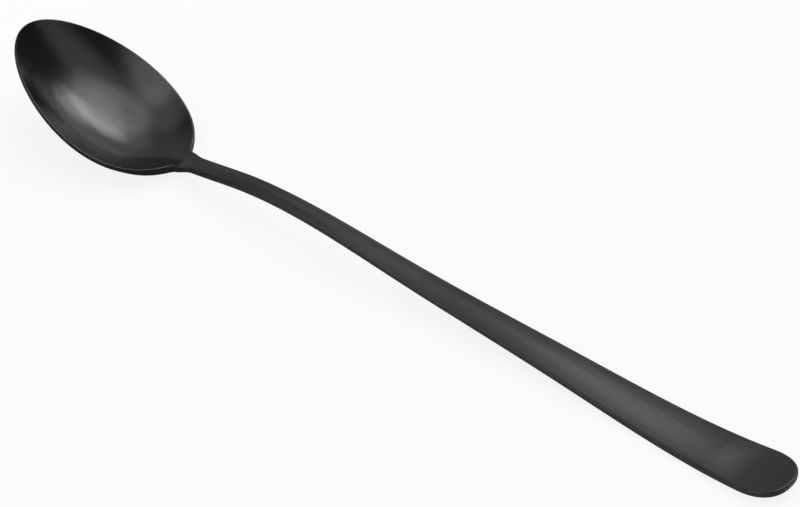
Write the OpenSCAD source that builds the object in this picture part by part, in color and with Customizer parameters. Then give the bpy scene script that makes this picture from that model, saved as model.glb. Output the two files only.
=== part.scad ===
/* [Overall] */
// Length from the tip of the bowl to the end of the handle
overall_len = 195; // [185:1:215]

/* [Bowl] */
// Length of the bowl from its tip to its heel
bowl_len = 42; // [40:0.2:46]
// Width across the middle of the bowl
bowl_w = 28.5; // [25:0.5:31]
// Depth of the inside of the bowl below its rim
bowl_depth = 5.8; // [5.4:0.1:6.6]
// Thickness of the metal at the bottom of the bowl
bowl_wall = 1.5; // [1.2:0.1:1.8]
// Height of the outer edge of the rim
rim_t = 1.1; // [0.9:0.1:1.2]
// Softness of the inner lip of the rim
rim_soft = 0.4; // [0.2:0.1:0.8]
// Share of its width by which the bowl swells towards the heel
egg_share = 0.09; // [0:0.01:0.1]
// Share of its width by which the bowl draws in towards its tip
tip_share = 0.02; // [0:0.01:0.08]
// Share of its width by which the bowl draws in towards its heel
heel_share = 0.04; // [0:0.01:0.1]

/* [Neck] */
// Width of the neck at its narrowest
neck_w = 4.3; // [3.6:0.1:5]
// Width of the neck where it leaves the bowl
root_w = 5.8; // [5.2:0.1:7]
// Length behind the bowl over which the neck narrows and thins
root_len = 4; // [3:0.2:6]
// Thickness of the neck at its edges
neck_t = 1.3; // [1.2:0.1:1.6]
// Thickness of the neck at its edges where it leaves the bowl
root_t = 1.9; // [1.6:0.1:2.3]
// Rise of the middle of the neck above its edges
neck_crown = 0.5; // [0.2:0.1:0.7]
// Distance past the heel where the neck begins
neck_gap = 3.4; // [3:0.2:4.4]
// Length of the neck, over the top of the arch
neck_len = 29; // [24:1:34]
// Length over which the neck runs down into the bowl
heel_blend = 2.2; // [1.4:0.2:2.6]

/* [Handle] */
// Width of the handle where its rounded end begins
grip_w = 12.9; // [11:0.1:15]
// Thickness of the handle at its edges near the end
grip_t = 1.5; // [1.1:0.1:1.7]
// Rise of the middle of the grip above its edges
grip_crown = 0.25; // [0.1:0.05:0.4]
// Length of the slim stem behind the neck
stem_len = 52; // [44:1:56]
// Length of the rounded end of the handle
end_len = 8.8; // [7:0.2:11]
// Length of the piece that holds the rounded end
tip_piece_len = 18; // [16:1:22]
// Radius on the edges of the bowl and of the grip
edge_r = 0.35; // [0.2:0.05:0.38]
// Radius on the edges of the neck and the stem
stem_edge_r = 0.55; // [0.4:0.05:0.55]

/* [Side profile] */
// Height of the rim at the tip of the bowl
tip_h = 18.6; // [16:0.1:20]
// Height of the rim half way along the bowl
mid_h = 10; // [9.2:0.1:11]
// Height of the rim line at the heel
heel_h = 4.8; // [4.2:0.1:6]
// Height of the edges at the top of the arch
crest_h = 7; // [6:0.1:9]
// Distance of the top of the arch behind the heel
crest_gap = 15.4; // [14:0.2:22]
// Height of the edges at the middle of the stem
stem_h = 5.9; // [4.8:0.1:7.6]
// Height of the edges where the grip begins to widen
grip_h = 3.4; // [2.8:0.1:5]
// Height of the edges at the lowest part of the handle
low_h = 2.3; // [2:0.1:2.6]
// Distance of that lowest part from the end of the handle
low_gap = 11; // [9:0.5:15]
// Height of the edges at the end of the handle
end_h = 3.7; // [2.8:0.1:4.4]

/* [Hidden] */

steel = "#2d2d2f";

// Powers that set how full the bowl is inside and outside, how the handle
// widens, how square its end is and how tightly the bowl meets the neck
inside_power = 2.5;
outside_power = 2.6;
flare_power = 1.52;
end_power = 2.3;
join_power = 4;

// Counts of facets: along the outlines, across a section, round an edge
bowl_side_steps = 48;
end_side_steps = 16;
across_steps = 8;
edge_steps = 2;
bowl_rings = 12;
end_rings = 4;
neck_steps = 12;
stem_steps = 8;
grip_steps = 9;
lift_steps = 60;

// Places along the spoon, measured from the tip of the bowl
bowl_half_len = bowl_len/2;
neck_from = bowl_len + neck_gap;
stem_from = neck_from + neck_len;
grip_from = stem_from + stem_len;
end_from = overall_len - tip_piece_len;
cap_from = overall_len - end_len;
crest_at = bowl_len + crest_gap;
flare_from = crest_at + crest_gap/2;
// Share of the bowl's length where the rim begins to thicken for the neck
heel_start_share = 0.8;
heel_from = bowl_len*heel_start_share;
low_at = overall_len - low_gap;

// Stations of the side profile, and the heights of the edges there
stem_mid = stem_from + stem_len/2;
grip_start = (grip_from + stem_mid)/2 + (grip_from - stem_mid);
spine_x = [0, bowl_half_len, bowl_len, crest_at, stem_mid, grip_start, low_at, overall_len];
spine_h = [tip_h, mid_h, heel_h, crest_h, stem_h, grip_h, low_h, end_h];

// Natural cubic spline through the stations: its bends, worked out by one
// sweep up the stations and one back down
function sweep_up(i = 1, c = 0, d = 0) =
    i > len(spine_x) - 2 ? [] :
    let (before = spine_x[i] - spine_x[i - 1])
    let (after = spine_x[i + 1] - spine_x[i])
    let (turn = (spine_h[i + 1] - spine_h[i])/after - (spine_h[i] - spine_h[i - 1])/before)
    let (pivot = 2*(before + after) - before*c)
    let (next_c = after/pivot)
    let (next_d = (6*turn - before*d)/pivot)
    concat([[next_c, next_d]], sweep_up(i + 1, next_c, next_d));
function sweep_back(pairs, i, bend = 0) =
    i < 0 ? [0] :
    let (here = pairs[i][1] - pairs[i][0]*bend)
    concat(sweep_back(pairs, i - 1, here), [here]);
sweep_pairs = sweep_up();
bends = concat(sweep_back(sweep_pairs, len(sweep_pairs) - 1), [0]);

function span_of(x, i = 0) =
    i >= len(spine_x) - 2 || x < spine_x[i + 1] ? i : span_of(x, i + 1);

// Height of the edges of the blank above the table
function edge_h(x) =
    let (i = span_of(x))
    let (span = spine_x[i + 1] - spine_x[i])
    let (a = (spine_x[i + 1] - x)/span)
    let (b = (x - spine_x[i])/span)
    a*spine_h[i] + b*spine_h[i + 1]
        + ((a*a*a - a)*bends[i] + (b*b*b - b)*bends[i + 1])*span*span/6;

// Smooth step from 0 to 1 between two places
function ramp(x, from, to) =
    let (s = max(0, min(1, (x - from)/(to - from))))
    s*s*(3 - 2*s);

// The lower of two heights, with the crease between them rounded off
function soft_min(a, b, soft) = (a + b - sqrt((a - b)*(a - b) + soft*soft))/2;

// Half the width of the bowl, swelling towards the heel
function swell(u) = let (v = max(-1, u)) 1 - egg_share*v - (v > 0 ? tip_share : heel_share)*v*v;
function bowl_half_w(x) =
    let (u = 1 - x/bowl_half_len)
    abs(u) >= 1 ? 0 : bowl_w/2*sqrt(1 - u*u)*swell(u);

// Half the width of the neck and the handle, with its root and rounded end
function handle_half_w(x) =
    let (root = (root_w - neck_w)*(1 - ramp(x, bowl_len, bowl_len + root_len)))
    let (flare = (grip_w - neck_w)*pow(max(0, (x - flare_from)/(cap_from - flare_from)), flare_power))
    let (into_end = max(0, min(1, (x - cap_from)/end_len)))
    (neck_w + root + flare)/2*pow(1 - pow(into_end, end_power), 1/end_power);

// Half the width of the whole blank: the bowl runs into the neck in a fillet
function half_w(x) =
    let (neck = handle_half_w(x)*ramp(x, bowl_half_len, bowl_len))
    pow(pow(bowl_half_w(x), join_power) + pow(neck, join_power), 1/join_power);

// Thickness of the blank at its edges
function edge_t(x) =
    let (behind = max(0, min(1, (x - neck_from)/(end_from - neck_from))))
    let (root = (root_t - neck_t)*(1 - ramp(x, bowl_len, bowl_len + root_len)))
    let (handle_t = neck_t + (grip_t - neck_t)*behind + root)
    rim_t + (handle_t - rim_t)*ramp(x, heel_from, bowl_len);

// Radius on the edges: the neck and the stem are rounder than the rest
function round_at(x) =
    edge_r + (stem_edge_r - edge_r)*ramp(x, neck_from, stem_from)*(1 - ramp(x, grip_from, end_from));

// Rise of the middle of the handle above its edges, none at either end
function crown_at(x) =
    let (behind = max(0, min(1, (x - neck_from)/(end_from - neck_from))))
    let (rise = neck_crown + (grip_crown - neck_crown)*behind)
    rise*ramp(x, heel_from, stem_from)*(1 - ramp(x, end_from, cap_from));

// Distance from the middle of the bowl, squared: 1 on its outline
function bowl_reach(x, y) =
    let (u = 1 - x/bowl_half_len)
    let (v = y/(bowl_w/2*swell(u)))
    u*u + v*v;

// Softness of the crease where the bowl ends, widest at the heel
function crease_soft(x, y) =
    rim_soft + (heel_blend - rim_soft)*ramp(x, heel_from, bowl_len)*exp(-y*y/(neck_w*neck_w));

// Share of the way from the edge of the blank to its middle
function inward(x, y) = 1 - y*y/pow(half_w(x), 2);

// Upper and lower surface of the blank
function top_h(x, y) =
    let (dish = edge_h(x) - bowl_depth*(1 - pow(bowl_reach(x, y), inside_power/2)))
    let (handle = edge_h(x) + crown_at(x)*inward(x, y))
    soft_min(dish, handle, crease_soft(x, y));
outside_depth = bowl_depth + bowl_wall - rim_t;
function under_h(x, y) =
    let (low = edge_h(x) - edge_t(x))
    let (belly = low - outside_depth*(1 - pow(bowl_reach(x, y), outside_power/2)))
    let (handle = low - crown_at(x)/2*inward(x, y))
    soft_min(belly, handle, crease_soft(x, y));

// Amount that brings the lowest point of the belly or the handle to the table
belly_low = min([for (i = [1 : lift_steps - 1]) under_h(bowl_len*i/lift_steps, 0)]);
handle_low = min([for (i = [0 : lift_steps - 1])
    under_h(grip_from + (overall_len - grip_from)*i/lift_steps, 0)]);
lift = -min(belly_low, handle_low);

// A point of the blank in the spoon's own frame, centred over its length
function place(x, y, z) = [x - overall_len/2, y, z + lift];

// Points round an edge from the upper surface to the lower one:
// how far in from the outline each is, and how far below or above a surface
edge_turns = [for (i = [0 : edge_steps]) 90*i/edge_steps];
function edge_in(turn) = edge_r*(1 - sin(turn));
function edge_drop(turn) = edge_r*(1 - cos(turn));

// Way square outwards from the outline, measured over a short step
slope_step = edge_r/4;
function outward(x) =
    let (rise = half_w(x + slope_step) - half_w(x - slope_step))
    [-rise, 2*slope_step]/norm([rise, 2*slope_step]);

// A point of the outline of one side together with its way outwards
function side_point(x) = let (way = outward(x)) [x, half_w(x), way[0], way[1]];

// Ring of points at one depth in from the outline; the cut stays flat.
// The side given holds points of the outline from the cut's corner to the axis.
function ring_plan(side, cut, depth) =
    let (corner = side[0][1] - depth)
    let (arc = [for (p = side) [p[0] - depth*p[2], p[1] - depth*p[3]]])
    concat(
        [for (i = [1 : across_steps - 1]) [cut, corner*(2*i/across_steps - 1)]],
        arc,
        [for (i = [len(arc) - 2 : -1 : 0]) [arc[i][0], -arc[i][1]]]);

// Closed solid of the blank inside a ring, built from rings of points
module ringed_solid(side, cut, middle, ring_count, mirrored) {
    inner = ring_plan(side, cut, edge_r);
    n = len(inner);
    shares = [for (i = [1 : ring_count]) sin(90*i/ring_count)];
    top_in = [for (s = shares) [for (p = inner)
        let (x = middle + s*(p[0] - middle)) let (y = s*p[1]) place(x, y, top_h(x, y))]];
    under_in = [for (i = [ring_count - 1 : -1 : 0]) [for (p = inner)
        let (x = middle + shares[i]*(p[0] - middle)) let (y = shares[i]*p[1])
        place(x, y, under_h(x, y))]];
    top_edge = [for (i = [1 : edge_steps])
        let (plan = ring_plan(side, cut, edge_in(edge_turns[i])))
        [for (k = [0 : n - 1]) place(plan[k][0], plan[k][1],
            top_h(inner[k][0], inner[k][1]) - edge_drop(edge_turns[i]))]];
    under_edge = [for (i = [edge_steps : -1 : 1])
        let (plan = ring_plan(side, cut, edge_in(edge_turns[i])))
        [for (k = [0 : n - 1]) place(plan[k][0], plan[k][1],
            under_h(inner[k][0], inner[k][1]) + edge_drop(edge_turns[i]))]];
    rings = concat(top_in, top_edge, under_edge, under_in);
    last = len(rings)*n;
    points = concat([for (ring = rings) each ring],
        [place(middle, 0, top_h(middle, 0)), place(middle, 0, under_h(middle, 0))]);
    walls = [for (j = [0 : len(rings) - 2]) for (i = [0 : n - 1])
        let (k = (i + 1)%n)
        each [[j*n + i, j*n + k, (j + 1)*n + k], [j*n + i, (j + 1)*n + k, (j + 1)*n + i]]];
    caps = [for (i = [0 : n - 1])
        let (k = (i + 1)%n)
        each [[last, k, i], [last + 1, last - n + i, last - n + k]]];
    faces = concat(walls, caps);
    polyhedron(points, mirrored ? faces : [for (f = faces) [f[2], f[1], f[0]]]);
}

// Closed section across the blank, square to its length
function section(x) =
    let (r = round_at(x))
    let (w = half_w(x) - r)
    let (across = [for (i = [0 : across_steps]) w*(2*i/across_steps - 1)])
    let (side = [for (turn = edge_turns) w + r*sin(turn)])
    let (drop = [for (turn = edge_turns) r*(1 - cos(turn))])
    let (high = top_h(x, w))
    let (low = under_h(x, w))
    concat(
        [for (y = across) place(x, y, top_h(x, y))],
        [for (i = [1 : edge_steps]) place(x, side[i], high - drop[i])],
        [for (i = [edge_steps : -1 : 1]) place(x, side[i], low + drop[i])],
        [for (i = [across_steps : -1 : 0]) place(x, across[i], under_h(x, across[i]))],
        [for (i = [1 : edge_steps]) place(x, -side[i], low + drop[i])],
        [for (i = [edge_steps : -1 : 1]) place(x, -side[i], high - drop[i])]);

// Closed solid of the blank between two cuts
module sectioned_solid(from, to, count) {
    rings = [for (i = [0 : count]) section(from + (to - from)*i/count)];
    n = len(rings[0]);
    walls = [for (j = [0 : count - 1]) for (i = [0 : n - 1])
        let (k = (i + 1)%n)
        each [[j*n + i, j*n + k, (j + 1)*n + k], [j*n + i, (j + 1)*n + k, (j + 1)*n + i]]];
    caps = [[for (i = [n - 1 : -1 : 0]) i], [for (i = [0 : n - 1]) count*n + i]];
    polyhedron([for (ring = rings) each ring], concat(walls, caps));
}

module bowl() {
    side = concat(
        [[neck_from, half_w(neck_from), 0, 1]],
        [for (i = [1 : bowl_side_steps - 1])
            side_point(neck_from*(1 + cos(180*i/bowl_side_steps))/2)],
        [[0, 0, -1, 0]]);
    color(steel) ringed_solid(side, neck_from, bowl_half_len, bowl_rings, true);
}

module neck() {
    color(steel) sectioned_solid(neck_from, stem_from, neck_steps);
}

module stem() {
    color(steel) sectioned_solid(stem_from, grip_from, stem_steps);
}

module grip() {
    color(steel) sectioned_solid(grip_from, end_from, grip_steps);
}

module handle_end() {
    side = concat(
        [[end_from, half_w(end_from), 0, 1]],
        [for (i = [1 : end_side_steps - 1])
            side_point(end_from + tip_piece_len*sin(90*i/end_side_steps))],
        [[overall_len, 0, 1, 0]]);
    color(steel) ringed_solid(side, end_from, (end_from + cap_from)/2, end_rings, false);
}

bowl();
neck();
stem();
grip();
handle_end();
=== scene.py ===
"""Looks of the iced tea spoon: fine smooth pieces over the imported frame, a
satin black coating, a white studio and the photograph's camera."""

import math

import bpy
import numpy as np
from mathutils import Matrix, Vector


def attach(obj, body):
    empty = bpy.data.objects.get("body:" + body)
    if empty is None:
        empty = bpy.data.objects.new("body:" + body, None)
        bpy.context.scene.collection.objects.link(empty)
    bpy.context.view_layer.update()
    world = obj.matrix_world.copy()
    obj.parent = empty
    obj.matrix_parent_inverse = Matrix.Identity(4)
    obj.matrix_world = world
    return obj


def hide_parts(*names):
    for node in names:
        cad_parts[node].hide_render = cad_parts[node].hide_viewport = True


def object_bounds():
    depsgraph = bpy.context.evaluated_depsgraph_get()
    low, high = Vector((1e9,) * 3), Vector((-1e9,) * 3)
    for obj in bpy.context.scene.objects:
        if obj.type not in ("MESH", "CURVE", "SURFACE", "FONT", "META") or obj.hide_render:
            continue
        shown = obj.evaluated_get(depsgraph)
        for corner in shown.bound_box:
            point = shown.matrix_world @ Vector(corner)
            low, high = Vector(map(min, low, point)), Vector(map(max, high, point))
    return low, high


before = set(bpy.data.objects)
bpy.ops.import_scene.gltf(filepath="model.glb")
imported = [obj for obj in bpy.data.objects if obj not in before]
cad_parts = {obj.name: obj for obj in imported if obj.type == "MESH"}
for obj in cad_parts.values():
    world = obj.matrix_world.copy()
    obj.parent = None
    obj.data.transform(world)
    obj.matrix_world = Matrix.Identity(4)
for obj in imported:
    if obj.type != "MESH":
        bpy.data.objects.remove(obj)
cad_low, cad_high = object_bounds()
MM = 0.001

# Sizes in millimetres, the same named ones as in the part's source
overall_len = 195.0

# Bowl
bowl_len = 42.0  # from its tip to its heel
bowl_w = 28.5
bowl_depth = 5.8  # of its inside, below the rim
bowl_wall = 1.5  # thickness at the bottom
rim_t = 1.1  # height of the rim's outer edge
rim_soft = 0.4  # softness of the rim's inner lip
egg_share = 0.09  # share of its width by which it swells towards the heel
tip_share = 0.02  # and by which it draws in towards its tip
heel_share = 0.04  # and towards its heel

# Neck, and its root where it leaves the bowl
neck_w = 4.3
neck_t = 1.3  # thickness at the edges
neck_crown = 0.5  # rise of the middle above the edges
neck_gap = 3.4  # from the heel to where the neck begins
neck_len = 29.0
root_w = 5.8
root_t = 1.9
root_len = 4.0  # over which the root narrows and thins
heel_blend = 2.2  # over which the neck runs down into the bowl

# Handle
grip_w = 12.9  # where its rounded end begins
grip_t = 1.5  # thickness at the edges near the end
grip_crown = 0.25  # rise of the middle above the edges
stem_len = 52.0
end_len = 8.8  # of the rounded end
tip_piece_len = 18.0  # of the piece that holds the rounded end
edge_r = 0.35  # radius on the edges of bowl and grip
stem_edge_r = 0.55  # radius on the edges of neck and stem

# Side profile: heights of the edges, and two places along it
tip_h = 18.6  # at the tip of the bowl
mid_h = 10.0  # half way along the bowl
heel_h = 4.8  # at the heel
crest_h = 7.0  # at the top of the arch
crest_gap = 15.4  # from the heel to the top of the arch
stem_h = 5.9  # at the middle of the stem
grip_h = 3.4  # where the grip begins to widen
low_h = 2.3  # at the lowest part of the handle
low_gap = 11.0  # from that part to the end
end_h = 3.7  # at the end

# Powers that set how full the bowl is inside and outside, how the handle
# widens, how square its end is and how tightly the bowl meets the neck
inside_power = 2.5
outside_power = 2.6
flare_power = 1.52
end_power = 2.3
join_power = 4.0

# Places along the spoon, measured from the tip of the bowl
bowl_half_len = bowl_len / 2
neck_from = bowl_len + neck_gap
stem_from = neck_from + neck_len
grip_from = stem_from + stem_len
end_from = overall_len - tip_piece_len
cap_from = overall_len - end_len
crest_at = bowl_len + crest_gap
flare_from = crest_at + crest_gap / 2
heel_start_share = 0.8  # of the bowl's length, where the rim begins to thicken
heel_from = bowl_len * heel_start_share
low_at = overall_len - low_gap
stem_mid = stem_from + stem_len / 2
grip_start = (grip_from + stem_mid) / 2 + (grip_from - stem_mid)

# Stations of the side profile, and the heights of the edges there
SPINE_X = np.array([0, bowl_half_len, bowl_len, crest_at, stem_mid, grip_start, low_at, overall_len])
SPINE_H = np.array([tip_h, mid_h, heel_h, crest_h, stem_h, grip_h, low_h, end_h])

# Fineness of the meshes: points across the blank, steps round an edge, rings
# from the middle of a rounded piece out, and steps along each piece
ACROSS_POINTS = 25
EDGE_STEPS = 6
BOWL_RINGS = 36
BOWL_STEPS = 110
LENGTH_STEPS = 60
END_RINGS = 16
END_STEPS = 60

# Points by which the lowest place is found, clear of the tip and of the end,
# where the blank has no width
LOWEST_POINTS = 400
CLEAR_OF_TIP = 0.5
CLEAR_OF_END = 0.1

# Share of the CAD model's width that the pieces keep within
KEEP_INSIDE = 0.99999
# Points that share a cell of this grid are one for the shading
WELD_CELLS_PER_METRE = 1e7

# How much duller the cut edge is on the rim of the bowl and on the handle
RIM_DULL = 1.5
HANDLE_DULL = 0.5


# Shape of the blank
def spline_bends(xs, hs):
    """Second derivatives of the natural cubic spline through the stations."""
    n = len(xs)
    a = np.eye(n)
    b = np.zeros(n)
    for i in range(1, n - 1):
        before, after = xs[i] - xs[i - 1], xs[i + 1] - xs[i]
        a[i, i - 1:i + 2] = before, 2 * (before + after), after
        b[i] = 6 * ((hs[i + 1] - hs[i]) / after - (hs[i] - hs[i - 1]) / before)
    return np.linalg.solve(a, b)


BENDS = spline_bends(SPINE_X, SPINE_H)


def edge_h(x):
    """Height of the edges of the blank."""
    x = np.asarray(x, float)
    i = np.clip(np.searchsorted(SPINE_X, x, side="right") - 1, 0, len(SPINE_X) - 2)
    span = SPINE_X[i + 1] - SPINE_X[i]
    a = (SPINE_X[i + 1] - x) / span
    b = (x - SPINE_X[i]) / span
    return (a * SPINE_H[i] + b * SPINE_H[i + 1]
            + ((a**3 - a) * BENDS[i] + (b**3 - b) * BENDS[i + 1]) * span**2 / 6)


def ramp(x, start, stop):
    """Smooth step from 0 to 1 between two places."""
    s = np.clip((x - start) / (stop - start), 0, 1)
    return s * s * (3 - 2 * s)


def soft_min(a, b, soft):
    """The lower of two heights, with the crease between them rounded off."""
    return (a + b - np.sqrt((a - b)**2 + soft**2)) / 2


def swell(u):
    """Share of the bowl's width, from u = 1 at its tip to -1 at its heel."""
    v = np.maximum(-1, u)
    return 1 - egg_share * v - np.where(v > 0, tip_share, heel_share) * v * v


def bowl_half_w(x):
    u = 1 - x / bowl_half_len
    return np.where(np.abs(u) >= 1, 0, bowl_w / 2 * np.sqrt(np.maximum(0, 1 - u * u)) * swell(u))


def handle_half_w(x):
    """Half the width of neck and handle, with its root and rounded end."""
    root = (root_w - neck_w) * (1 - ramp(x, bowl_len, bowl_len + root_len))
    flare = (grip_w - neck_w) * np.maximum(0, (x - flare_from) / (cap_from - flare_from))**flare_power
    into_end = np.clip((x - cap_from) / end_len, 0, 1)
    return (neck_w + root + flare) / 2 * np.maximum(0, 1 - into_end**end_power)**(1 / end_power)


def half_w(x):
    """Half the width of the blank: the bowl runs into the neck in a fillet."""
    x = np.asarray(x, float)
    neck = handle_half_w(x) * ramp(x, bowl_half_len, bowl_len)
    return (bowl_half_w(x)**join_power + neck**join_power)**(1 / join_power)


def behind_share(x):
    return np.clip((x - neck_from) / (end_from - neck_from), 0, 1)


def edge_t(x):
    """Thickness of the blank at its edges."""
    root = (root_t - neck_t) * (1 - ramp(x, bowl_len, bowl_len + root_len))
    handle_t = neck_t + (grip_t - neck_t) * behind_share(x) + root
    return rim_t + (handle_t - rim_t) * ramp(x, heel_from, bowl_len)


def round_at(x):
    """Radius on the edges: the neck and the stem are rounder than the rest."""
    rounder = ramp(x, neck_from, stem_from) * (1 - ramp(x, grip_from, end_from))
    return edge_r + (stem_edge_r - edge_r) * rounder


def crown_at(x):
    """Rise of the middle of the handle above its edges, none at either end."""
    rise = neck_crown + (grip_crown - neck_crown) * behind_share(x)
    return rise * ramp(x, heel_from, stem_from) * (1 - ramp(x, end_from, cap_from))


def bowl_reach(x, y):
    """Distance from the middle of the bowl, squared: 1 on its outline."""
    u = 1 - x / bowl_half_len
    v = y / (bowl_w / 2 * swell(u))
    return u * u + v * v


def crease_soft(x, y):
    """Softness of the crease where the bowl ends, widest at the heel."""
    return rim_soft + (heel_blend - rim_soft) * ramp(x, heel_from, bowl_len) * np.exp(-y * y / neck_w**2)


def inward(x, y):
    """Share of the way from the edge of the blank to its middle."""
    return 1 - y * y / half_w(x)**2


def top_h(x, y):
    dish = edge_h(x) - bowl_depth * (1 - bowl_reach(x, y)**(inside_power / 2))
    handle = edge_h(x) + crown_at(x) * inward(x, y)
    return soft_min(dish, handle, crease_soft(x, y))


def under_h(x, y):
    low = edge_h(x) - edge_t(x)
    belly = low - (bowl_depth + bowl_wall - rim_t) * (1 - bowl_reach(x, y)**(outside_power / 2))
    handle = low - crown_at(x) / 2 * inward(x, y)
    return soft_min(belly, handle, crease_soft(x, y))


belly_x = np.linspace(CLEAR_OF_TIP, bowl_len, LOWEST_POINTS)
handle_x = np.linspace(grip_from, overall_len - CLEAR_OF_END, LOWEST_POINTS)
lift = -min(under_h(belly_x, 0 * belly_x).min(), under_h(handle_x, 0 * handle_x).min())

# Points across the blank and round its edge: how far in from the outline each
# is, how far from the surface, and how much of the cut edge it has
across = np.linspace(-1, 1, ACROSS_POINTS)
turns = np.radians(np.linspace(0, 90, EDGE_STEPS + 1))[1:]
edge_in = edge_r * (1 - np.sin(turns))
edge_drop = edge_r * (1 - np.cos(turns))
edge_share = np.sin(turns)
round_edge = np.concatenate([edge_share, edge_share[::-1]])


# Pieces with a rounded outline
def outline_ways(x):
    """Way square outwards from the outline, measured over a short step."""
    step = edge_r / 8
    rise = half_w(x + step) - half_w(x - step)
    way = np.stack([-rise, np.full_like(rise, 2 * step)], 1)
    return way / np.linalg.norm(way, axis=1)[:, None]


def side_of(xs, last_way):
    """Outline of one side from the cut to the axis, with the way outwards."""
    points = np.stack([xs, half_w(xs)], 1)
    points[-1, 1] = 0
    ways = np.zeros_like(points)
    ways[0] = 0, 1
    ways[1:-1] = outline_ways(xs[1:-1])
    ways[-1] = last_way
    return points, ways


def ring_plan(side, cut, depth):
    """Ring of points at one depth in from the outline; the cut stays flat."""
    points, ways = side
    arc = points - depth * ways
    arc[0] = cut, points[0, 1] - depth
    corner = arc[0, 1]
    flat = np.stack([np.full(len(across) - 2, cut), corner * across[1:-1]], 1)
    back = arc[-2::-1] * [1, -1]
    return np.concatenate([flat, arc, back])


def ring_faces(n, ring_count, inner_count):
    """Faces between rings of n points and round both middles. Those that lie
    flat on the cut come apart from the rest."""
    skin, caps = [], []
    for j in range(ring_count - 1):
        beside_cut = inner_count - 1 <= j < ring_count - inner_count
        for i in range(n):
            k = (i + 1) % n
            on_cut = beside_cut and (i == n - 1 or i < len(across) - 2)
            quad = (j * n + i, j * n + k, (j + 1) * n + k, (j + 1) * n + i)
            (caps if on_cut else skin).append(quad)
    last = ring_count * n
    for i in range(n):
        k = (i + 1) % n
        skin.append((last, k, i))
        skin.append((last + 1, last - n + i, last - n + k))
    return skin, caps


def ringed(side, cut, middle, inner_count):
    """Skin of a piece with a rounded outline: rings from the middle of the
    upper surface out, round the edge and back in below. The cut is open."""
    inner = ring_plan(side, cut, edge_r)
    centre = np.array([middle, 0.0])
    shares = np.sin(np.pi / 2 * np.arange(1, inner_count + 1) / inner_count)
    plans = [centre + s * (inner - centre) for s in shares]
    edge_plans = [ring_plan(side, cut, d) for d in edge_in]
    top_edge, under_edge = top_h(*inner.T), under_h(*inner.T)
    rings = [np.c_[p, top_h(*p.T)] for p in plans]
    rings += [np.c_[p, top_edge - drop] for p, drop in zip(edge_plans, edge_drop)]
    rings += [np.c_[p, under_edge + drop] for p, drop in zip(edge_plans[::-1], edge_drop[::-1])]
    rings += [np.c_[p, under_h(*p.T)] for p in plans[::-1]]
    middles = [[[middle, 0, top_h(middle, 0)]], [[middle, 0, under_h(middle, 0)]]]
    skin, caps = ring_faces(len(inner), len(rings), inner_count)
    broad = np.zeros(inner_count * len(inner))
    edge = np.concatenate([broad, np.repeat(round_edge, len(inner)), broad, [0, 0]])
    return np.concatenate(rings + middles), skin, caps, edge


def turned_over(points, skin, caps, edge):
    """The same piece with its faces the other way out."""
    return points, [f[::-1] for f in skin], [f[::-1] for f in caps], edge


def bowl():
    x = neck_from * (1 + np.cos(np.pi * np.arange(BOWL_STEPS + 1) / BOWL_STEPS)) / 2
    return turned_over(*ringed(side_of(x, (-1, 0)), neck_from, bowl_half_len, BOWL_RINGS))


def handle_end():
    x = end_from + tip_piece_len * np.sin(np.pi / 2 * np.arange(END_STEPS + 1) / END_STEPS)
    x[-1] = overall_len
    return ringed(side_of(x, (1, 0)), end_from, (end_from + cap_from) / 2, END_RINGS)


# Lengths of the blank between two cuts
def section(x):
    """Closed section across the blank, square to its length."""
    r = float(round_at(x))
    w = float(half_w(x)) - r
    y = w * across
    side_y = w + r * np.sin(turns)
    drop = r * (1 - np.cos(turns))
    up, down = top_h(x, w) - drop, under_h(x, w) + drop
    yz = np.concatenate([
        np.stack([y, top_h(x, y)], 1),
        np.stack([side_y, up], 1),
        np.stack([side_y, down], 1)[::-1],
        np.stack([y, under_h(x, y)], 1)[::-1],
        np.stack([-side_y, down], 1),
        np.stack([-side_y, up], 1)[::-1]])
    return np.c_[np.full(len(yz), x), yz]


def sectioned(start, stop):
    """Skin of a length of the blank between two cuts, with both cuts open."""
    rings = [section(x) for x in np.linspace(start, stop, LENGTH_STEPS + 1)]
    n = len(rings[0])
    skin = []
    for j in range(LENGTH_STEPS):
        for i in range(n):
            k = (i + 1) % n
            skin.append((j * n + i, (j + 1) * n + i, (j + 1) * n + k, j * n + k))
    caps = [tuple(range(n)), tuple(LENGTH_STEPS * n + i for i in range(n - 1, -1, -1))]
    half_edge = np.concatenate([np.zeros(len(across)), round_edge])
    return np.concatenate(rings), skin, caps, np.tile(half_edge, 2 * len(rings))


skins = {
    "bowl": bowl(),
    "neck": sectioned(neck_from, stem_from),
    "stem": sectioned(stem_from, grip_from),
    "grip": sectioned(grip_from, end_from),
    "handle_end": handle_end(),
}


# Pieces in the row frame
def in_frame(points, widest):
    """From the blank's own millimetres to the row frame in metres, kept inside
    the box of the CAD model, whose facets cut a few microns off."""
    p = points.copy()
    p[:, 0] -= overall_len / 2
    p[:, 2] += lift
    p *= MM
    p[:, 1] *= min(1, KEEP_INSIDE * cad_high[1] / (widest * MM))
    p[:, 0] = np.clip(p[:, 0], cad_low[0], cad_high[0])
    p[:, 2] = np.clip(p[:, 2], cad_low[2], cad_high[2])
    return p


def vertex_normals(all_points, all_faces):
    """Area-weighted normals of the welded skin, so that shading runs on over
    the cuts between the pieces."""
    keys = {}
    ids = np.empty(len(all_points), int)
    for i, p in enumerate(np.round(all_points * WELD_CELLS_PER_METRE).astype(int)):
        ids[i] = keys.setdefault(tuple(p), len(keys))
    total = np.zeros((len(keys), 3))
    for f in all_faces:
        a, b, c = all_points[f[0]], all_points[f[1]], all_points[f[2]]
        if len(f) == 4:
            d = all_points[f[3]]
            v = np.cross(c - a, d - b) / 2
        else:
            v = np.cross(b - a, c - a) / 2
        for i in f:
            total[ids[i]] += v
    length = np.linalg.norm(total, axis=1)
    total /= np.where(length > 0, length, 1)[:, None]
    return total[ids]


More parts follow.
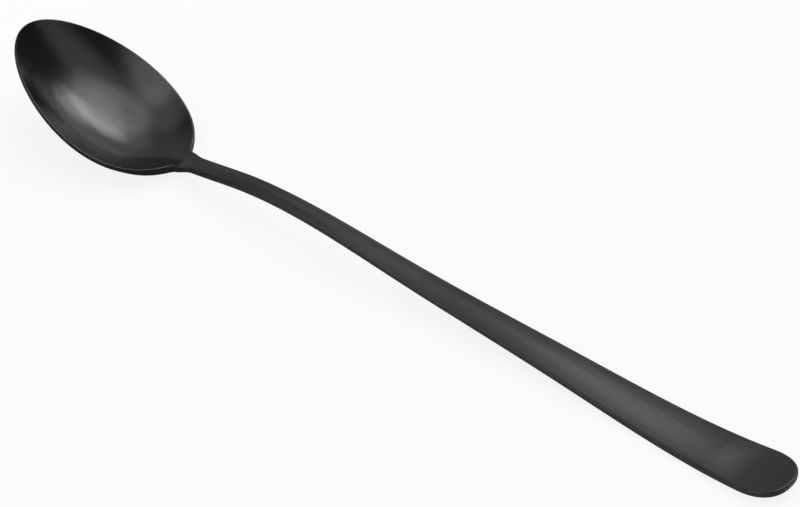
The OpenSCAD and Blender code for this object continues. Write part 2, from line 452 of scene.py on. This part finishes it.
def make_piece(name, points, skin, caps, dull, normals, material):
    """One smooth piece. The faces on its cuts are shaded flat."""
    mesh = bpy.data.meshes.new(name + "_skin")
    mesh.from_pydata(points.tolist(), [], [list(f) for f in skin + caps])
    mesh.update()
    mesh.polygons.foreach_set("use_smooth", [True] * len(mesh.polygons))
    corners = []
    for k, poly in enumerate(mesh.polygons):
        for v in poly.vertices:
            corners.append(tuple(normals[v]) if k < len(skin) else tuple(poly.normal))
    mesh.normals_split_custom_set(corners)
    mesh.attributes.new("cut_edge", "FLOAT", "POINT").data.foreach_set("value", dull)
    mesh.materials.append(material)
    obj = bpy.data.objects.new(name + "_steel", mesh)
    bpy.context.scene.collection.objects.link(obj)
    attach(obj, "root")
    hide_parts(name)


def make_pieces(material):
    widest = max(points[:, 1].max() for points, _, _, _ in skins.values())
    placed, starts, every_face = {}, {}, []
    start = 0
    for name, (points, skin, _, _) in skins.items():
        placed[name] = in_frame(points, widest)
        starts[name] = start
        every_face += [tuple(i + start for i in f) for f in skin]
        start += len(points)
    every_normal = vertex_normals(np.concatenate(list(placed.values())), every_face)
    for name, (points, skin, caps, edge) in skins.items():
        along = ramp(points[:, 0], heel_from, stem_from)
        dull = edge * (RIM_DULL + (HANDLE_DULL - RIM_DULL) * along)
        normals = every_normal[starts[name]:starts[name] + len(points)]
        make_piece(name, placed[name], skin, caps, dull, normals, material)


# Nodes that the materials share

# A Mix node has sockets for numbers, vectors and colours under the same names,
# so its share and its colours go by their places
MIX_INPUTS = (0, 6, 7)
MIX_OUTPUT = 2


def feed(nt, socket, value):
    """Give a socket the output of another node, or a plain value."""
    if isinstance(value, bpy.types.NodeSocket):
        nt.links.new(value, socket)
    else:
        socket.default_value = value


def maths(nt, op, a, b):
    node = nt.nodes.new("ShaderNodeMath")
    node.operation = op
    feed(nt, node.inputs[0], a)
    feed(nt, node.inputs[1], b)
    return node.outputs[0]


def map_range(nt, value, source, result, interpolation="LINEAR"):
    """A value between the two ends of source, laid over those of result."""
    node = nt.nodes.new("ShaderNodeMapRange")
    node.interpolation_type = interpolation
    feed(nt, node.inputs["Value"], value)
    for name, end in zip(("From Min", "From Max", "To Min", "To Max"), (*source, *result)):
        feed(nt, node.inputs[name], end)
    return node.outputs["Result"]


def noise(nt, way, stretch, scale, detail):
    """Noise with its grains drawn out by the stretch along each axis."""
    move = nt.nodes.new("ShaderNodeMapping")
    feed(nt, move.inputs["Vector"], way)
    feed(nt, move.inputs["Scale"], stretch)
    tex = nt.nodes.new("ShaderNodeTexNoise")
    feed(nt, tex.inputs["Vector"], move.outputs["Vector"])
    feed(nt, tex.inputs["Scale"], scale)
    feed(nt, tex.inputs["Detail"], detail)
    return tex.outputs["Fac"]


def mixed(nt, share, low, high):
    """Colour between two others, by the colour sockets of a Mix node."""
    node = nt.nodes.new("ShaderNodeMix")
    node.data_type = "RGBA"
    for place, value in zip(MIX_INPUTS, (share, low, high)):
        feed(nt, node.inputs[place], value)
    return node.outputs[MIX_OUTPUT]


def bump(nt, height, depth, under=None):
    node = nt.nodes.new("ShaderNodeBump")
    feed(nt, node.inputs["Height"], height)
    feed(nt, node.inputs["Distance"], depth)
    if under is not None:
        feed(nt, node.inputs["Normal"], under)
    return node.outputs["Normal"]


def shader(nt, kind, socket, value):
    """A plain shader with one of its sockets fed."""
    node = nt.nodes.new(kind)
    feed(nt, node.inputs[socket], value)
    return node.outputs[0]


def added(nt, one, other):
    node = nt.nodes.new("ShaderNodeAddShader")
    feed(nt, node.inputs[0], one)
    feed(nt, node.inputs[1], other)
    return node.outputs[0]


def new_material(name, bare):
    """A material with its default shader, or bare with nothing but an output."""
    m = bpy.data.materials.new(name)
    m.use_nodes = True
    if bare:
        m.node_tree.nodes.clear()
        m.node_tree.nodes.new("ShaderNodeOutputMaterial")
    return m


# Black coating

# Patterns: scale along each axis, for grains drawn out lengthwise, then scale
# per metre and detail
BRUSHED = ((0.04, 1, 1), 9000, 3)
DRAWN = ((0.14, 1, 1), 750, 2)
GRAIN = ((1, 1, 1), 6000, 2)
BLOTCH = ((0.5, 1, 1), 160, 3)
# Where noise mostly lies
NOISE_SPAN = (0.3, 0.7)
# Tones of the coating, and the tone and share of what shows where it is worn
BLACK_LOW = (0.0048, 0.0048, 0.0049, 1)
BLACK_HIGH = (0.0075, 0.0075, 0.0077, 1)
WORN_TONE = (0.02, 0.02, 0.02, 1)
WORN_TONE_SHARE = 0.35
# Sharpness of bend from which the coating wears, and how patchy the wear is
WORN_BENDS = (0.56, 0.66)
WORN_PATCHES = (0.2, 1.0)
# Roughness, how much each pattern changes it, and what wear takes off
ROUGH = 0.2
BRUSHED_ROUGH = 0.03
BLOTCH_ROUGH = 0.02
WORN_POLISH = 0.04
# Gloss, and how the cut edge of the blank differs
GLOSS = 0.62
CUT_EDGE_ROUGH = 0.12
CUT_EDGE_GLOSS = -0.3
# Depths of the fine grain and of the drawn streaks
FINE_DEPTH = 0.0012 * MM
DRAWN_DEPTH = 0.03 * MM
GRAIN_SHARE = 0.5


def spread(nt, pattern, low, high):
    return map_range(nt, pattern, NOISE_SPAN, (low, high))


def coating_rough(nt, brushed, blotch, wear, cut_edge):
    """Roughness by brushing and handling, less where worn, more on the edge."""
    by_brush = spread(nt, brushed, ROUGH - BRUSHED_ROUGH, ROUGH + BRUSHED_ROUGH)
    by_hand = spread(nt, blotch, -BLOTCH_ROUGH, BLOTCH_ROUGH)
    polish = maths(nt, "MULTIPLY", wear, WORN_POLISH)
    rough = maths(nt, "SUBTRACT", maths(nt, "ADD", by_brush, by_hand), polish)
    return maths(nt, "ADD", rough, maths(nt, "MULTIPLY", cut_edge, CUT_EDGE_ROUGH))


def coating_colour(nt, blotch, wear):
    tone = mixed(nt, spread(nt, blotch, 0.0, 1.0), BLACK_LOW, BLACK_HIGH)
    return mixed(nt, maths(nt, "MULTIPLY", wear, WORN_TONE_SHARE), tone, WORN_TONE)


def coating_normal(nt, brushed, grain, drawn):
    height = maths(nt, "ADD", brushed, maths(nt, "MULTIPLY", grain, GRAIN_SHARE))
    return bump(nt, drawn, DRAWN_DEPTH, bump(nt, height, FINE_DEPTH))


def black_steel():
    """Satin black coating: fine grain brushed along the spoon, drawn streaks,
    soft blotches from handling, duller on the cut edge of the blank and most
    of all on the rim of the bowl, and a trace of wear on sharp bends."""
    m = new_material("black_steel", bare=False)
    nt = m.node_tree
    way = nt.nodes.new("ShaderNodeTexCoord").outputs["Object"]
    brushed, drawn, grain, blotch = [noise(nt, way, *p) for p in (BRUSHED, DRAWN, GRAIN, BLOTCH)]
    bend = nt.nodes.new("ShaderNodeNewGeometry").outputs["Pointiness"]
    worn = map_range(nt, bend, WORN_BENDS, (0, 1))
    wear = maths(nt, "MULTIPLY", worn, spread(nt, blotch, *WORN_PATCHES))
    edge = nt.nodes.new("ShaderNodeAttribute")
    edge.attribute_name = "cut_edge"
    cut_edge = edge.outputs["Fac"]
    gloss = maths(nt, "ADD", maths(nt, "MULTIPLY", cut_edge, CUT_EDGE_GLOSS), GLOSS)
    bsdf = nt.nodes["Principled BSDF"]
    feed(nt, bsdf.inputs["Base Color"], coating_colour(nt, blotch, wear))
    feed(nt, bsdf.inputs["Roughness"], coating_rough(nt, brushed, blotch, wear, cut_edge))
    feed(nt, bsdf.inputs["Specular IOR Level"], gloss)
    feed(nt, bsdf.inputs["Normal"], coating_normal(nt, brushed, grain, drawn))
    feed(nt, bsdf.inputs["Metallic"], 0.0)
    return m


make_pieces(black_steel())

# Floor

# Half its width in metres, its colour under the lamps, and what the camera
# sees instead: paper that glows and shows a little of the lamps' light, so
# that the shadow stays. Reflections see a share of that.
FLOOR_HALF = 6.0
PAPER = (0.5, 0.5, 0.5, 1)
FLOOR_GLOW = 0.86
FLOOR_VEIL = (0.12, 0.12, 0.12, 1)
GLOW_IN_GLOSS = 0.2


def square(name, half, material):
    mesh = bpy.data.meshes.new(name)
    corners = [(-half, -half, 0), (half, -half, 0), (half, half, 0), (-half, half, 0)]
    mesh.from_pydata(corners, [], [(0, 1, 2, 3)])
    mesh.materials.append(material)
    obj = bpy.data.objects.new(name, mesh)
    bpy.context.scene.collection.objects.link(obj)
    return obj


def seen_ray(nt, gloss_share):
    """1 for rays from the camera, less for reflected and refracted ones."""
    path = nt.nodes.new("ShaderNodeLightPath")
    bent = maths(nt, "MAXIMUM", path.outputs["Is Glossy Ray"], path.outputs["Is Transmission Ray"])
    return maths(nt, "MAXIMUM", path.outputs["Is Camera Ray"], maths(nt, "MULTIPLY", bent, gloss_share))


def white_floor():
    """White paper: seen near white, with a faint shadow of the spoon."""
    m = new_material("floor_white", bare=True)
    nt = m.node_tree
    paper = shader(nt, "ShaderNodeBsdfDiffuse", "Color", PAPER)
    glow = shader(nt, "ShaderNodeEmission", "Strength", FLOOR_GLOW)
    veil = shader(nt, "ShaderNodeBsdfDiffuse", "Color", FLOOR_VEIL)
    mix = nt.nodes.new("ShaderNodeMixShader")
    feed(nt, mix.inputs[0], seen_ray(nt, GLOW_IN_GLOSS))
    feed(nt, mix.inputs[1], paper)
    feed(nt, mix.inputs[2], added(nt, glow, veil))
    feed(nt, nt.nodes["Material Output"].inputs["Surface"], mix.outputs[0])
    return m


floor = square("floor", FLOOR_HALF, white_floor())

# Lamps and room

# Soft boxes of the studio: name, direction round from +Y towards +X, height
# above the horizon, half width and half height in degrees, brightness where
# white paper is 1, turn about its own middle, and distance in metres
SOFT_BOXES = [
    ("handle_glow", -17, 52.5, 4.5, 7, 1.3, 8, 0.37),
    ("streak", 3, 48, 14, 5.5, 3.5, -13.5, 4.0),
    ("main", 7, 38, 6.5, 12.5, 3.1, -13.5, 1.3),
    ("main_wing", 25, 61.5, 8, 11, 1.1, -7, 2.0),
    ("low", -10, 19, 18.5, 13, 0.9, 0, 4.0),
    ("overhead", 12.5, 71.5, 19.5, 23, 1.8, 7.5, 4.0),
    ("back", -175.5, 34.5, 20, 44.5, 1.5, 0, 4.0),
    ("back_left", -108.5, 58, 20, 22, 0.76, 0, 0.35),
    ("left", -61, 29, 23.5, 27.5, 0.35, 0, 0.33),
    ("high_left", -17.5, 50, 21.5, 19, 0.6, 0, 1.1),
    ("right", 88.5, 61.5, 18, 28, 0.58, -12.5, 2.3),
    ("near_edge", -150, 20, 12, 16, 0.85, 0, 4.0),
]
# Share of a soft box's half size over which its light fades, either way
EDGE_SOFT = 0.45
# Brightness of the room, and degrees above the horizon over which it turns pale
ROOM = 0.05
HORIZON_FROM = 1.0
HORIZON_TO = 4.0


def glowing(name, strength):
    """Light that fades softly out towards the edge of a soft box. Boxes that
    stand behind one another add up, so each lets light pass through it."""
    m = new_material(name, bare=True)
    nt = m.node_tree
    reach = nt.nodes.new("ShaderNodeVectorMath")
    reach.operation = "LENGTH"
    feed(nt, reach.inputs[0], nt.nodes.new("ShaderNodeTexCoord").outputs["Object"])
    fade = map_range(nt, reach.outputs["Value"], (1 + EDGE_SOFT, 1 - EDGE_SOFT), (0, strength),
                     "SMOOTHSTEP")
    glow = shader(nt, "ShaderNodeEmission", "Strength", fade)
    clear = nt.nodes.new("ShaderNodeBsdfTransparent").outputs[0]
    feed(nt, nt.nodes["Material Output"].inputs["Surface"], added(nt, glow, clear))
    return m


def soft_box(name, azimuth, elevation, half_wide, half_high, strength, turn, distance):
    a, e, t = math.radians(azimuth), math.radians(elevation), math.radians(turn)
    way = Vector((math.sin(a) * math.cos(e), math.cos(a) * math.cos(e), math.sin(e)))
    level = Vector((math.cos(a), -math.sin(a), 0))
    rise = level.cross(way)
    sideways = math.cos(t) * level + math.sin(t) * rise
    upward = math.cos(t) * rise - math.sin(t) * level
    facing = Matrix((sideways, upward, -way)).transposed().to_4x4()
    wide = distance * math.tan(math.radians(half_wide))
    high = distance * math.tan(math.radians(half_high))
    box = square(name, 1 + EDGE_SOFT, glowing(name, strength))
    box.matrix_world = Matrix.Translation(way * distance) @ facing @ Matrix.Diagonal((wide, high, 1, 1))
    box.visible_camera = False


def room():
    """A dim room with a pale horizon, where the white floor ends."""
    world = bpy.data.worlds.new("studio")
    bpy.context.scene.world = world
    world.use_nodes = True
    nt = world.node_tree
    rise = nt.nodes.new("ShaderNodeSeparateXYZ")
    feed(nt, rise.inputs[0], nt.nodes.new("ShaderNodeTexCoord").outputs["Generated"])
    horizon = [math.sin(math.radians(height)) for height in (HORIZON_TO, HORIZON_FROM)]
    pale = map_range(nt, rise.outputs["Z"], horizon, (ROOM, 1), "SMOOTHSTEP")
    background = nt.nodes["Background"]
    feed(nt, background.inputs["Strength"], pale)
    feed(nt, background.inputs["Color"], (1, 1, 1, 1))


for values in SOFT_BOXES:
    soft_box(*values)
room()

# Camera

# Width and focal length of the photograph in pixels, width of the sensor in
# millimetres, direction from which it is taken in degrees, the place that it
# looks at in millimetres and its distance in metres
PICTURE_W = 800
FOCAL_PX = 5925.6
SENSOR_W = 36.0
CAMERA_AZIMUTH = 37.60
CAMERA_ELEVATION = 43.23
CAMERA_TARGET = (-1.79, 3.80, 5.0)
CAMERA_DISTANCE = 1.2


def place_camera():
    a, e = math.radians(CAMERA_AZIMUTH), math.radians(CAMERA_ELEVATION)
    back = Vector((math.sin(a) * math.cos(e), -math.cos(a) * math.cos(e), math.sin(e)))
    right = Vector((math.cos(a), math.sin(a), 0))
    facing = Matrix((right, back.cross(right), back)).transposed().to_4x4()
    data = bpy.data.cameras.new("camera")
    data.sensor_width = SENSOR_W
    data.lens = FOCAL_PX / PICTURE_W * SENSOR_W
    camera = bpy.data.objects.new("camera", data)
    place = Vector(CAMERA_TARGET) * MM + back * CAMERA_DISTANCE
    camera.matrix_world = Matrix.Translation(place) @ facing
    bpy.context.scene.collection.objects.link(camera)
    bpy.context.scene.camera = camera


place_camera()
bpy.context.scene.view_settings.view_transform = "Standard"

bpy.context.view_layer.update()
